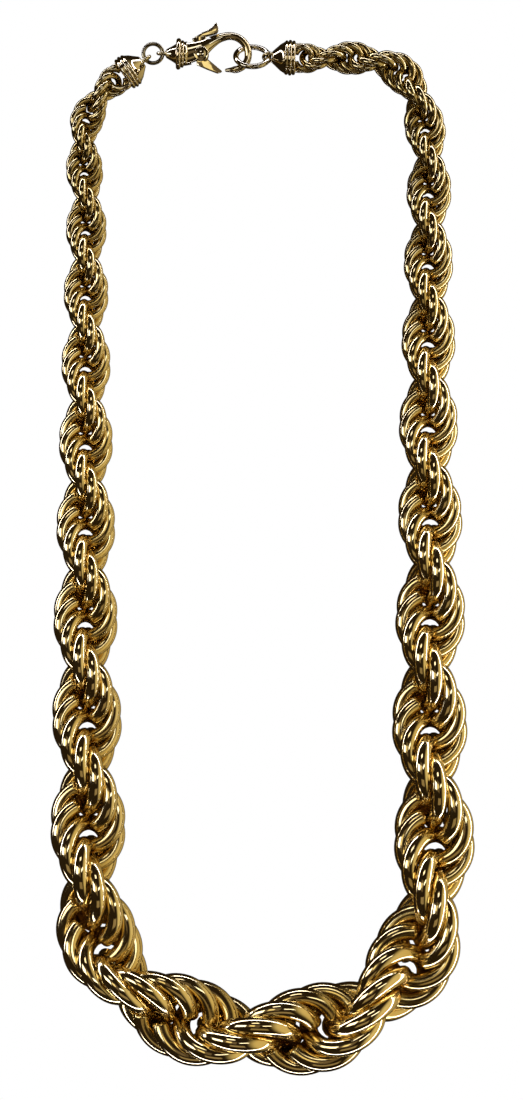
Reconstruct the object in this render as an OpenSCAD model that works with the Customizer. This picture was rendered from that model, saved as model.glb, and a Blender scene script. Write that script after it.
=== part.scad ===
// Graduated rope chain necklace, laid flat and closed by a lobster claw clasp.
// Millimetres, +Z up from the surface that it lies on, +Y towards the clasp.
// The rope is a row of round C-shaped links. Each one is turned a little further than the last,
// so that their rims form the two twisted strands of a rope.

/* [Loop] */
// width of the loop between the middles of its two flanks
loop_w = 65.5; // [62:0.5:72]
// height of the loop from the bottom of the rope's axis to the clasp's
loop_h = 182.9; // [175:0.1:200]

/* [Rope] */
// diameter of the rope where it enters an end cap
rope_d_end = 5.65; // [4.5:0.05:5.8]
// diameter of the rope at the bottom middle
rope_d_mid = 17; // [10:0.1:20]
// how fast the rope thickens away from the caps, 1 for an even taper
taper_power = 1.27; // [1:0.01:1.6]
// length of half a turn of the strands near the caps, in rope diameters
turn_ratio = 1.5; // [1.48:0.01:1.6]
// the same at the bottom middle
turn_ratio_mid = 1.43; // [1.42:0.01:1.5]
// links in each half turn
links_per_turn = 6; // [5.8:0.1:6.5]
// wire radius as a share of the link's mean radius
wire_share = 0.21; // [0.12:0.01:0.21]
// opening of each link, in degrees of its circle
link_opening = 64; // [62:1:76]
// turn of the first link about the rope's axis
first_turn = 162; // [0:1:180]
// distance of the first free link from the cap's mouth
first_link = 2.2; // [2:0.05:3]

/* [End caps] */
// height of the axis of the caps and the clasp above the surface
axis_z = 3.35; // [3.35:0.05:4.5]
// outer radius of the cap's sleeve, below its ribs
sleeve_r = 3.1; // [3.1:0.05:3.2]
// inner radius of the cap's sleeve
mouth_r = 2.87; // [2.85:0.01:2.95]
// depth of the cap's hollow
mouth_depth = 1.5; // [1.4:0.05:1.6]
// length of the ribbed sleeve
sleeve_l = 2; // [1.9:0.1:2.6]
// radius of a rib's own section
rib_r = 0.35; // [0.3:0.01:0.35]
// radius of the cap's cone at its tip
cone_tip_r = 1.2; // [1:0.05:1.4]
// distance from the cap's mouth to the centre of its eye
cap_eye_x = 5; // [4.9:0.05:5.4]
// mean radius of a cap's eye
cap_eye_r = 0.95; // [0.95:0.01:1.1]
// wire radius of every eye
eye_wire_r = 0.33; // [0.28:0.01:0.33]

/* [Rings] */
// mean radius of the jump ring
jump_r = 1.8; // [1.8:0.05:2.2]
// wire radius of the jump ring
jump_wire_r = 0.375; // [0.3:0.005:0.38]
// direction from the left cap's eye to the middle of the jump ring
jump_turn = 38; // [30:1:45]
// mean radius of the ring that the hook holds
ring_r = 3.08; // [2.9:0.02:3.3]
// wire radius of the ring that the hook holds
ring_wire_r = 0.52; // [0.45:0.01:0.52]
// lean of the ring that the hook holds
ring_lean = 48; // [40:1:55]

/* [Clasp] */
// turn of the clasp about the upright axis
clasp_turn = -1.5; // [-5:0.5:5]
// distance from the clasp's eye to its rivet
foot_l = 7.25; // [7.2:0.05:7.6]
// mean radius of the clasp's eye
clasp_eye_r = 0.85; // [0.85:0.01:1]
// half thickness of the body between its flat cheeks
cheek_z = 1.75; // [1.6:0.05:1.9]
// wire radius of the hook
hook_wire_r = 0.6; // [0.55:0.01:0.62]
// mean radius of the hook's large bend
bend_r = 3.5; // [3.4:0.05:3.6]
// mean radius of the hook's small bend
small_bend_r = 2.8; // [2.6:0.05:3]
// length of the hook's straight tip
tip_l = 1.75; // [1.6:0.05:1.8]
// radius of the hook's tip
hook_tip_r = 0.28; // [0.2:0.01:0.3]
// thickness of the lever in the fork
lever_t = 1.2; // [1:0.05:1.3]
// width of the thumb pad
pad_w = 2.6; // [2:0.1:3]
// reach of the fork's gap from the rivet, on the thumb's side
thumb_reach = 3.45; // [3.4:0.05:3.6]
// reach of the fork's gap from the rivet, on the gate's side
gate_reach = 2.6; // [2.5:0.05:2.8]
// radius of the lever's hub
hub_r = 1.2; // [1.1:0.05:1.2]
// radius of the rivet's pin
pin_r = 0.5; // [0.4:0.01:0.55]
// radius of the rivet's heads
head_r = 0.85; // [0.75:0.05:0.95]

/* [Clearances] */
// least gap between two links, shared by both
link_gap = 0.1; // [0.1:0.01:0.15]
// gap between the rivet's pin and its bores
pin_fit = 0.05; // [0.03:0.01:0.1]
// gap on each side of the lever in the fork
fork_gap = 0.15; // [0.1:0.01:0.2]
// gap round the lever's hub in the fork
hub_gap = 0.15; // [0.1:0.01:0.25]

/* [Hidden] */
$fn = 40;

// the middle of the whole necklace is put on the origin
middle = [0.04, -0.34];
// the places below are given for the loop's first width and height, and follow the named ones
function in_loop(p) = [p.x * loop_w / 65.5, p.y * loop_h / 182.9] - middle;
left_mouth = in_loop([-26, 88.3]);
left_heading = 215.3;
lead = 3;
// chosen points of the rope's axis, from the left cap round to the right one
route_points = [[-31, 83.5], [-33, 79.5], [-33.5, 74], [-33, 65.5], [-33, 54], [-33, 41],
    [-33, 27], [-33, 11.5], [-33, -5], [-33, -22.5], [-32.5, -41.5], [-32.5, -56.5],
    [-32, -67], [-29.5, -75.5], [-24.5, -82], [-15.5, -87.5], [-4, -90.5], [9, -90],
    [19.5, -85.5], [26.5, -79], [30.5, -70], [32, -56.5], [31.5, -44.5], [31, -24.5],
    [31.5, -4.5], [31, 14.5], [31, 31], [31, 46.5], [31, 60.5], [31, 73.5], [29, 84],
    [26, 88.5], [21, 91], [13.5, 91.5]];

function way(a) = [cos(a), sin(a)];
function unit(v) = v / norm(v);
// running totals of a list, from 0
function totals(v) = [for (i = 0, a = 0; i <= len(v); a = a + (i < len(v) ? v[i] : 0), i = i + 1) a];

// the small parts follow each other from the left cap to the right one
left_eye = left_mouth - cap_eye_x * way(left_heading);
jump_mid = left_eye + jump_r * way(jump_turn);
clasp_eye = jump_mid + jump_r * way(0);
rivet_at = clasp_eye + foot_l * way(clasp_turn);
ring_offset = [9.54, -0.17];
ring_mid = rivet_at + ring_offset.x * way(clasp_turn) + ring_offset.y * way(clasp_turn + 90);
right_eye = ring_mid + ring_r * way(clasp_turn);
right_heading = clasp_turn;
right_mouth = right_eye + cap_eye_x * way(right_heading);

// the rope's axis as a smooth curve through the chosen points
route = concat([left_mouth, left_mouth + lead * way(left_heading)],
    [for (p = route_points) in_loop(p)],
    [right_mouth + lead * way(right_heading), right_mouth]);
last = len(route) - 1;
knots = totals([for (i = [1 : last]) norm(route[i] - route[i - 1])]);
function slope(i) = i == 0 ? way(left_heading) : i == last ? -way(right_heading)
    : (route[i + 1] - route[i - 1]) / (knots[i + 1] - knots[i - 1]);
function blend(i, u) = let (h = knots[i + 1] - knots[i])
    (2 * pow(u, 3) - 3 * pow(u, 2) + 1) * route[i] + (pow(u, 3) - 2 * pow(u, 2) + u) * h * slope(i)
    + (3 * pow(u, 2) - 2 * pow(u, 3)) * route[i + 1] + (pow(u, 3) - pow(u, 2)) * h * slope(i + 1);
steps = 10;
path = concat([for (i = [0 : last - 1], q = [0 : steps - 1]) blend(i, q / steps)], [route[last]]);
spans = [for (i = [1 : len(path) - 1]) norm(path[i] - path[i - 1])];
along = totals(spans);
rope_l = along[len(along) - 1];
x_table = [for (i = [0 : len(path) - 1]) [along[i], path[i].x]];
y_table = [for (i = [0 : len(path) - 1]) [along[i], path[i].y]];

// the rope's diameter and the spacing of its links at a distance along the axis
function share_along(s) = 1 - abs(1 - 2 * s / rope_l);
function rope_d(s) = rope_d_end
    + (rope_d_mid - rope_d_end) * (1 - pow(1 - min(1, max(0, share_along(s))), taper_power));
function ratio_at(s) = turn_ratio + (turn_ratio_mid - turn_ratio) * share_along(s);
function spacing(s) = rope_d(s) * ratio_at(s) / links_per_turn;
function axis_at(s) = [lookup(s, x_table), lookup(s, y_table), max(axis_z, rope_d(s) / 2)];
function heading_at(s) = unit(axis_at(s + 1) - axis_at(s - 1));

// links counted along the axis, and the place of each one
count_along = totals([for (i = [0 : len(spans) - 1])
    spans[i] * (1 / spacing(along[i]) + 1 / spacing(along[i + 1])) / 2]);
count_table = [for (i = [0 : len(path) - 1]) [along[i], count_along[i]]];
place_table = [for (i = [0 : len(path) - 1]) [count_along[i], along[i]]];
first_count = lookup(first_link, count_table);
last_count = lookup(rope_l - first_link, count_table);
n = round(last_count - first_count);
function place(i) = lookup(first_count + i * (last_count - first_count) / n, place_table);
half = floor(n / 2);
step_turn = 180 / links_per_turn;

// link sizes: its rim is as wide as the rope
function link_r(s) = (rope_d(s) / 2 + link_gap / 2) / (1 + wire_share);
function wire_r(s) = wire_share * link_r(s) - link_gap / 2;
function link_frame(i) = let (
    s = place(i), c = axis_at(s), t = heading_at(s),
    side = unit(cross([0, 0, 1], t)), up = cross(t, side),
    a = first_turn - i * step_turn,
    d = cos(a) * side + sin(a) * up, w = cross(d, t))
    [[d.x, t.x, w.x, c.x], [d.y, t.y, w.y, c.y], [d.z, t.z, w.z, c.z], [0, 0, 0, 1]];

// round wire bent to a circle, open over the named angle on its +Y side
module wire_ring(r, wire, opening = 0) {
    rotate([0, 0, 90 + opening / 2])
        rotate_extrude(angle = 360 - opening)
            translate([r, 0]) circle(r = wire, $fn = 24);
}

module link(i, opening = link_opening) {
    s = place(i);
    multmatrix(link_frame(i)) wire_ring(link_r(s), wire_r(s), opening);
}

module rope_left() {
    color("#d9a83a") for (i = [0 : half]) link(i);
}

module rope_right() {
    color("#d9a83a") for (i = [half + 1 : n]) link(i);
}

// the cap's sleeve, cone and eye, with its mouth at z = 0
module cap_form(eye_lean) {
    difference() {
        union() {
            cylinder(r = sleeve_r, h = sleeve_l);
            for (k = [0.5 : 1 : 2.5])
                translate([0, 0, k * sleeve_l / 3]) wire_ring(axis_z - rib_r, rib_r);
            translate([0, 0, sleeve_l])
                cylinder(r1 = sleeve_r - 0.15, r2 = cone_tip_r, h = cap_eye_x - cap_eye_r + 0.3 - sleeve_l);
            translate([0, 0, cap_eye_x]) rotate([90, 0, eye_lean]) wire_ring(cap_eye_r, eye_wire_r);
        }
        translate([0, 0, -1]) cylinder(r = mouth_r, h = mouth_depth + 1);
    }
}

module cap_at(p, heading, eye_lean) {
    translate([p.x, p.y, axis_z]) rotate([0, 0, heading]) rotate([0, -90, 0]) cap_form(eye_lean);
}

// each cap has one link soldered in its hollow, and the rope is linked to that one
module end_cap_left() {
    color("#c9962f") union() {
        cap_at(left_mouth, left_heading, 0);
        link(-1);
    }
}

module end_cap_right() {
    color("#c9962f") union() {
        cap_at(right_mouth, right_heading, ring_lean);
        link(n + 1, 0);
    }
}

module jump_ring() {
    color("#e0b44a") translate([jump_mid.x, jump_mid.y, axis_z]) wire_ring(jump_r, jump_wire_r);
}

module at_rivet() {
    translate([rivet_at.x, rivet_at.y, axis_z]) rotate([0, 0, clasp_turn]) children();
}

module clasp_ring() {
    color("#e0b44a") at_rivet() translate([ring_offset.x, ring_offset.y, 0])
        rotate([-ring_lean, 0, 0]) wire_ring(ring_r, ring_wire_r);
}

// the arm of the clasp's body: x, y and radius of each section, seen from above
bend_mid = [5.3, 0.1];
bend_from = bend_mid + bend_r * way(102);
arm = [[-3.4, 0, 2.25], [-2.2, 0.25, 2.2], [-0.6, 0.85, 1.95], [1.4, 2.1, 1.25], [3.1, 3.05, 0.88],
    [bend_from.x, bend_from.y, 0.67]];
small_bend_mid = [bend_mid.x + bend_r - small_bend_r, bend_mid.y];
hook_end_turn = -85;
hook_end = small_bend_mid + small_bend_r * way(hook_end_turn);
hook_tip = hook_end - tip_l * way(hook_end_turn + 90);

// a cone between two points at the axis height, run on past both by a little
module taper(a, b, on_a = 0, on_b = 0) {
    d = [b.x - a.x, b.y - a.y];
    l = norm(d);
    k = (b.z - a.z) / l;
    translate([a.x, a.y, 0]) rotate([0, 0, atan2(d.y, d.x)]) translate([-on_a, 0, 0]) rotate([0, 90, 0])
        cylinder(r1 = a.z - k * on_a, r2 = b.z + k * on_b, h = l + on_a + on_b);
}

module foot() {
    translate([-foot_l, 0, 0]) rotate([90, 0, 0]) wire_ring(clasp_eye_r, eye_wire_r);
    taper([-foot_l + clasp_eye_r - 0.3, 0, 0.95], [-4.6, 0, 1.95]);
    taper([-4.65, 0, 2.3], [-2.9, 0, 2.3]);
    translate([-4.25, 0, 0]) rotate([0, 90, 0]) wire_ring(2.5, 0.45);
    translate([-3.5, 0, 0]) rotate([0, 90, 0]) wire_ring(2.3, 0.3);
}

module arc(r, wire, from, to) {
    rotate([0, 0, from]) rotate_extrude(angle = to - from) translate([r, 0]) circle(r = wire, $fn = 24);
}

// each section of the hook starts inside the one before it, and is thinner by a hair
module hook() {
    translate([bend_mid.x, bend_mid.y, 0]) arc(bend_r, hook_wire_r, 0, 106);
    translate([small_bend_mid.x, small_bend_mid.y, 0]) arc(small_bend_r, hook_wire_r - 0.02, hook_end_turn, 4);
    taper([hook_end.x, hook_end.y, hook_wire_r - 0.04], [hook_tip.x, hook_tip.y, hook_tip_r], 0.05, 0);
}

// the fork's gap seen from above: a circle for the hub, and one sector each for thumb and gate
module wedge(r, from, to) {
    intersection() {
        circle(r = r, $fn = 80);
        polygon([[0, 0], 9 * way(from), 9 * way((from + to) / 2), 9 * way(to)]);
    }
}

module fork_outline() {
    circle(r = hub_r + hub_gap, $fn = 60);
    wedge(thumb_reach, 60, 155);
    wedge(gate_reach, -142, 0);
}

module clasp_body() {
    color("#d4a237") at_rivet() difference() {
        union() {
            foot();
            intersection() {
                union() for (i = [0 : len(arm) - 2])
                    taper(arm[i], arm[i + 1], i == 0 ? 0 : 0.08 * arm[i].z, 0.08 * arm[i + 1].z);
                translate([-10, -10, -cheek_z]) cube([20, 20, 2 * cheek_z]);
            }
            translate([0, 0, -cheek_z]) cylinder(r = hub_r + 0.08, h = 2 * cheek_z);
            hook();
        }
        linear_extrude(lever_t + 2 * fork_gap, center = true) fork_outline();
        translate([0, 0, -5]) cylinder(r = pin_r + pin_fit, h = 10);
    }
}

// outlines of the lever, seen from above, about the rivet
gate_line = [[0.6, -0.35], [3.88, -2.98], [3.98, -3.1], [3.8, -3.27], [3.1, -3.5], [1.05, -2.75],
    [-0.8, -1.95], [-1.1, -0.3]];
web_line = [[-0.6, 0.7], [-1.8, 2.75], [-1, 3.35], [0.1, 3.95], [0.8, 3.7], [0.8, 3], [0.5, 0.6]];
pad_line = [[0.05, 3.22], [0.7, 3.38], [2.75, 4.02], [3, 4.3], [3.1, 4.8], [2.72, 5.92], [2.5, 5.75],
    [1.9, 5], [1, 4.4], [0.05, 4.05]];

module clasp_lever() {
    color("#e6bd55") at_rivet() difference() {
        union() {
            cylinder(r = hub_r, h = lever_t, center = true);
            linear_extrude(lever_t, center = true) polygon(gate_line);
            linear_extrude(lever_t, center = true) polygon(web_line);
            linear_extrude(pad_w, center = true) polygon(pad_line);
        }
        cylinder(r = pin_r + pin_fit, h = 5, center = true);
    }
}

module clasp_rivet() {
    color("#f0d080") at_rivet() {
        cylinder(r = pin_r, h = 2 * cheek_z + 0.2, center = true);
        for (m = [0, 1]) mirror([0, 0, m]) translate([0, 0, cheek_z + 0.03])
            cylinder(r1 = head_r, r2 = head_r - 0.3, h = 0.3);
    }
}

rope_left();
rope_right();
end_cap_left();
end_cap_right();
jump_ring();
clasp_body();
clasp_lever();
clasp_rivet();
clasp_ring();
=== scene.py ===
"""Looks of the graduated rope chain necklace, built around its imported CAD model.

Shapes are worked out in millimetres, +Z up and +Y towards the clasp, and turned to metres
when a piece is finished. The rope is two rows of round links, each turned a little further
than the last, and the caps, rings and clasp close it at the top.
"""

import math

import bmesh
import bpy
from bpy.props import FloatProperty, FloatVectorProperty, IntProperty, PointerProperty
from mathutils import Matrix, Vector
from mathutils.kdtree import KDTree


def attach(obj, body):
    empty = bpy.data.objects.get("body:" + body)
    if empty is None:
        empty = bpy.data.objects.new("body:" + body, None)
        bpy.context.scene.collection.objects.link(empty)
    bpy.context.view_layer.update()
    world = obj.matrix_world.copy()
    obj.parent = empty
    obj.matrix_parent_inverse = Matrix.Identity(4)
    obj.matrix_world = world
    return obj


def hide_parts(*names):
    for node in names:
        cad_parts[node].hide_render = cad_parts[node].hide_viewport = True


bl_info = {
    "name": "Graduated Rope Necklace",
    "version": (1, 0, 0),
    "blender": (4, 5, 0),
    "location": "3D View > Sidebar > Necklace",
    "description": "Builds the links, caps, rings and claw clasp of a graduated gold rope necklace",
    "category": "Add Mesh",
}

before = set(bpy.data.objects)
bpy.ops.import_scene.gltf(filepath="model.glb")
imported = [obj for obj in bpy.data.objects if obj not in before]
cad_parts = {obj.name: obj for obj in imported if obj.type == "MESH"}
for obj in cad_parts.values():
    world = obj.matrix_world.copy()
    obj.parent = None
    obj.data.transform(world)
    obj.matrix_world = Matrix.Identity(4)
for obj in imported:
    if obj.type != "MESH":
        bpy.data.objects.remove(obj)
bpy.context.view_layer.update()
MM = 0.001


# Sizes and colours

def length(name, description, mm):
    """A size in metres, given here in millimetres."""
    return FloatProperty(name=name, description=description, default=mm * MM, min=0.0,
                         precision=5, unit="LENGTH")


def tint(name, description, colour):
    """A linear colour."""
    return FloatVectorProperty(name=name, description=description, default=colour, size=3,
                               min=0.0, max=1.0, subtype="COLOR")


def share(name, description, value, top=1.0):
    """A plain number from 0 up to top."""
    return FloatProperty(name=name, description=description, default=value, min=0.0, max=top)


def angle(name, description, degrees):
    """An angle, given here in degrees."""
    return FloatProperty(name=name, description=description, default=math.radians(degrees),
                         subtype="ANGLE", unit="ROTATION")


class RopeSizes(bpy.types.PropertyGroup):
    """Sizes of the rope and its links"""

    end_diameter: length("End diameter", "Diameter of the rope where it enters an end cap", 5.65)
    middle_diameter: length("Middle diameter", "Diameter of the rope at the bottom middle", 17.0)
    taper_power: share("Taper power", "How fast the rope thickens away from the caps", 1.27, 3.0)
    turn_ratio: share("Half turn", "Length of half a turn near the caps, in rope diameters", 1.5, 4.0)
    turn_ratio_mid: share("Half turn, middle", "Length of half a turn at the bottom, in rope diameters",
                          1.43, 4.0)
    links_per_turn: share("Links in a half turn", "Number of links in each half turn", 6.0, 12.0)
    wire_share: share("Wire share", "Wire radius as a share of the link's mean radius", 0.255, 0.3)
    link_opening: angle("Link opening", "Angle over which each link is open", 42)
    first_turn: angle("First turn", "Turn of the first link about the rope's axis", 162)
    first_link: length("First link", "Distance of the first free link from the cap's mouth", 2.2)
    axis_height: length("Axis height", "Height of the clasp's and the caps' axis above the surface", 3.35)
    link_steps: IntProperty(name="Link steps", description="Sections round each link", default=56,
                            min=16, max=96)
    wire_sides: IntProperty(name="Wire sides", description="Sides of a link's wire", default=14,
                            min=6, max=24)


class ClaspSizes(bpy.types.PropertyGroup):
    """Sizes of the end caps, the rings and the claw clasp"""

    sleeve_radius: length("Sleeve radius", "Outer radius of a cap's sleeve below its ribs", 3.1)
    mouth_radius: length("Mouth radius", "Inner radius of a cap's sleeve", 2.87)
    mouth_depth: length("Mouth depth", "Depth of a cap's hollow", 1.5)
    sleeve_length: length("Sleeve length", "Length of a cap's ribbed sleeve", 2.0)
    rib_radius: length("Rib radius", "Radius of a rib's own section", 0.35)
    tip_radius: length("Cone tip", "Radius of a cap's cone at its tip", 1.2)
    cap_eye_reach: length("Cap eye reach", "Distance from a cap's mouth to the middle of its eye", 5.0)
    cap_eye_radius: length("Cap eye", "Mean radius of a cap's eye", 0.95)
    eye_wire: length("Eye wire", "Wire radius of every eye", 0.33)
    jump_radius: length("Jump ring", "Mean radius of the jump ring", 1.8)
    jump_wire: length("Jump ring wire", "Wire radius of the jump ring", 0.375)
    ring_radius: length("Clasp ring", "Mean radius of the ring that the hook holds", 3.08)
    ring_wire: length("Clasp ring wire", "Wire radius of the ring that the hook holds", 0.52)
    ring_lean: angle("Ring lean", "Lean of the ring that the hook holds", 48)
    clasp_turn: angle("Clasp turn", "Turn of the clasp about the upright axis", -1.5)
    foot_length: length("Foot length", "Distance from the clasp's eye to its rivet", 7.25)
    clasp_eye_radius: length("Clasp eye", "Mean radius of the clasp's eye", 0.85)
    cheek_height: length("Cheek height", "Half thickness of the clasp between its flat cheeks", 1.75)
    hook_wire: length("Hook wire", "Wire radius of the hook", 0.69)
    hook_radius: length("Hook bend", "Mean radius of the hook's large bend", 3.5)
    small_radius: length("Small bend", "Mean radius of the hook's small bend", 2.8)
    tip_length: length("Hook tip length", "Length of the hook's straight tip", 1.75)
    hook_tip_radius: length("Hook tip", "Radius of the hook's tip", 0.28)
    lever_thickness: length("Lever thickness", "Thickness of the lever in the fork", 1.2)
    fork_gap: length("Fork gap", "Gap round the lever's hub in the fork", 0.15)
    fork_rise: length("Fork rise", "Gap above and below the lever in the fork", 0.35)
    thumb_reach: length("Thumb reach", "Reach of the fork's gap on the thumb's side", 3.6)
    gate_reach: length("Gate reach", "Reach of the fork's gap on the gate's side", 2.6)
    pad_width: length("Thumb pad", "Width of the lever's thumb pad", 2.6)
    hub_radius: length("Hub radius", "Radius of the lever's hub", 1.2)
    pin_radius: length("Pin radius", "Radius of the rivet's pin", 0.5)
    head_radius: length("Rivet head", "Radius of the rivet's heads", 0.85)


class GoldFinish(bpy.types.PropertyGroup):
    """Colours and gloss of the gold"""

    rope_light: tint("Rope, light", "Light yellow gold of the links", (0.95, 0.8, 0.48))
    rope_deep: tint("Rope, deep", "Deeper gold of the links", (0.86, 0.69, 0.35))
    # painted shade: the amber gold deep between the links stands in for shade and light bounced between
    # them
    rope_recess_shade: tint("Rope, recess", "Amber gold deep between the links", (0.8, 0.6, 0.24))
    clasp_light: tint("Clasp, light", "Light gold of the caps and the claw", (0.8, 0.7, 0.47))
    clasp_deep: tint("Clasp, deep", "Deeper gold of the caps and the claw", (0.6, 0.49, 0.3))
    ring_light: tint("Rings, light", "Light gold of the rings and the rivet", (0.68, 0.61, 0.46))
    ring_deep: tint("Rings, deep", "Deeper gold of the rings and the rivet", (0.42, 0.36, 0.25))
    # painted shade: how much of its brightness the rope's colour keeps at its thin ends
    thin_shade: share("Thin end", "Brightness of the gold at the rope's thin ends", 0.66)
    # painted shade: the jump ring's colours are darker copies of the rings' gold, for the shade it lies in
    jump_light: tint("Jump ring, light", "Light places of the darkened jump ring", (0.34, 0.3, 0.22))
    jump_deep: tint("Jump ring, deep", "Deep places of the darkened jump ring", (0.2, 0.17, 0.11))
    gloss_low: share("Polished", "Roughness of the best polished places", 0.03)
    gloss_high: share("Worn", "Roughness of the worn places", 0.09)


class StageSetup(bpy.types.PropertyGroup):
    """Camera, floor and lights"""

    view_height: length("View height", "Height of the picture, 6 mm above the floor", 205.3)
    lens: share("Lens", "Focal length of the camera in millimetres", 150.0, 400.0)
    near_colour: tint("Warm below", "Light from below on the right-hand side, in the gold",
                      (0.45, 0.36, 0.17))
    horizon_glow: share("Horizon glow", "Brightness of the room near the horizon", 17.0, 50.0)
    side_colour: tint("Warm side", "Light of the room's right-hand side, in the gold", (0.68, 0.56, 0.28))
    ceiling_colour: tint("Ceiling", "Light of the dark ceiling", (0.02, 0.013, 0.006))
    white: share("White", "Brightness of the table and the backdrop as seen", 1.0, 10.0)
    lamp_glow: share("Lamp glow", "Brightness of the soft lamps, as a share of their own", 1.0, 50.0)


def in_mm(group, name):
    """A size of a property group in millimetres."""
    return getattr(group, name) / MM


# The rope's course, seen from above, in millimetres

MIDDLE = Vector((0.04, -0.34, 0))  # the middle of the whole necklace, which is put on the origin
LEFT_MOUTH = Vector((-26, 88.3, 0)) - MIDDLE
LEFT_HEADING = math.radians(215.3)  # the way in which the rope leaves the left cap
LEAD = 3.0  # the rope's next point lies this far straight ahead of each cap
# points of the rope's axis, listed from the left cap round to the right one
ROUTE_POINTS = [
    (-31, 83.5), (-33, 79.5), (-33.5, 74), (-33, 65.5), (-33, 54), (-33, 41), (-33, 27),
    (-33, 11.5), (-33, -5), (-33, -22.5), (-32.5, -41.5), (-32.5, -56.5), (-32, -67),
    (-29.5, -75.5), (-24.5, -82), (-15.5, -87.5), (-4, -90.5), (9, -90), (19.5, -85.5),
    (26.5, -79), (30.5, -70), (32, -56.5), (31.5, -44.5), (31, -24.5), (31.5, -4.5),
    (31, 14.5), (31, 31), (31, 46.5), (31, 60.5), (31, 73.5), (29, 84), (26, 88.5),
    (21, 91), (13.5, 91.5)]
SPAN_STEPS = 10  # steps of the curve between two of the points
OPENING_CYCLE = 3  # the links' openings change sides in a pattern of this many links
ODD_LINK = 1  # the link of each cycle that opens the other way
PAST_MIDDLE = 2  # the pattern turns round at this many links past the rope's middle
JUMP_TURN = math.radians(38)  # the way from the left cap's eye to the middle of the jump ring
RING_OFFSET = Vector((9.54, -0.17, 0))  # from the rivet to the middle of the clasp ring


def way(heading):
    """The level unit vector at an angle from +X."""
    return Vector((math.cos(heading), math.sin(heading), 0))


def lookup(x, xs, ys):
    """The value at x on the broken line through (xs, ys)."""
    if x <= xs[0]:
        return ys[0]
    for i in range(1, len(xs)):
        if x <= xs[i]:
            u = (x - xs[i - 1]) / (xs[i] - xs[i - 1])
            return ys[i - 1] + u * (ys[i] - ys[i - 1])
    return ys[-1]


def running(values):
    """Running totals of a list, from 0."""
    out = [0.0]
    for v in values:
        out.append(out[-1] + v)
    return out


def on_curve(a, slope_a, b, slope_b, u, span=1.0):
    """The point at a share u of a smooth curve from a to b, with slopes given for one unit of its span."""
    return ((2 * u**3 - 3 * u**2 + 1) * a + (u**3 - 2 * u**2 + u) * span * slope_a
            + (3 * u**2 - 2 * u**3) * b + (u**3 - u**2) * span * slope_b)


class Places:
    """Where each small part sits between the two ends of the rope, in millimetres."""

    def __init__(self, clasp, rope):
        turn = clasp.clasp_turn
        reach = in_mm(clasp, "cap_eye_reach")
        jump = in_mm(clasp, "jump_radius")
        self.lift = Vector((0, 0, in_mm(rope, "axis_height")))
        self.turn = turn
        self.left_eye = LEFT_MOUTH - reach * way(LEFT_HEADING)
        self.jump = self.left_eye + jump * way(JUMP_TURN)
        self.clasp_eye = self.jump + jump * way(0)
        self.rivet = self.clasp_eye + in_mm(clasp, "foot_length") * way(turn)
        self.ring = self.rivet + RING_OFFSET.x * way(turn) + RING_OFFSET.y * way(turn + math.pi / 2)
        self.right_eye = self.ring + in_mm(clasp, "ring_radius") * way(turn)
        self.right_mouth = self.right_eye + reach * way(turn)

    def at_rivet(self):
        """The clasp's own frame: the rivet at its origin, the hook along +X."""
        return Matrix.Translation(self.rivet + self.lift) @ Matrix.Rotation(self.turn, 4, "Z")


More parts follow.
